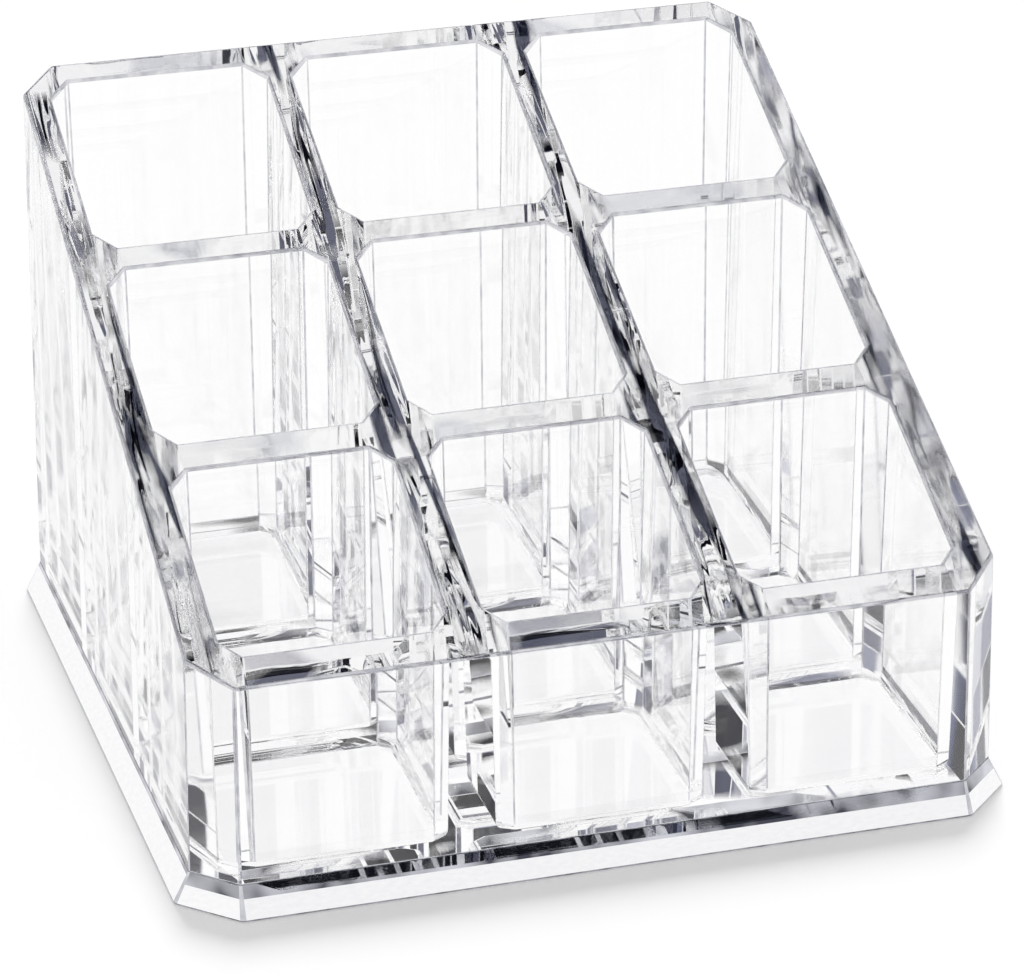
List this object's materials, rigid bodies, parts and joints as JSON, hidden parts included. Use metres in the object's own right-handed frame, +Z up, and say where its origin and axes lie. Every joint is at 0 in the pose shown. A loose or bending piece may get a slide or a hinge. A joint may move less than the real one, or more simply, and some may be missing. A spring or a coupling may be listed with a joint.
{
  "type": "vanity organizer",
  "caption": "Clear plastic vanity organizer: a grid of octagonal pockets under a sloped rim, on a bevelled base plate, holds lipsticks and nail-polish bottles upright.",
  "frame": {"origin": "middle of the underside of the base plate", "axes": "+Z up, +Y towards the high back of the rim, +X to the right seen from the low front"},
  "size_m": [0.0914, 0.0914, 0.0632],
  "materials": {
    "clear_plastic": "clear polystyrene, polished as moulded"
  },
  "bodies": {
    "root": {"compartment_body": "clear_plastic", "base_plate": "clear_plastic"}
  },
  "joints": []
}
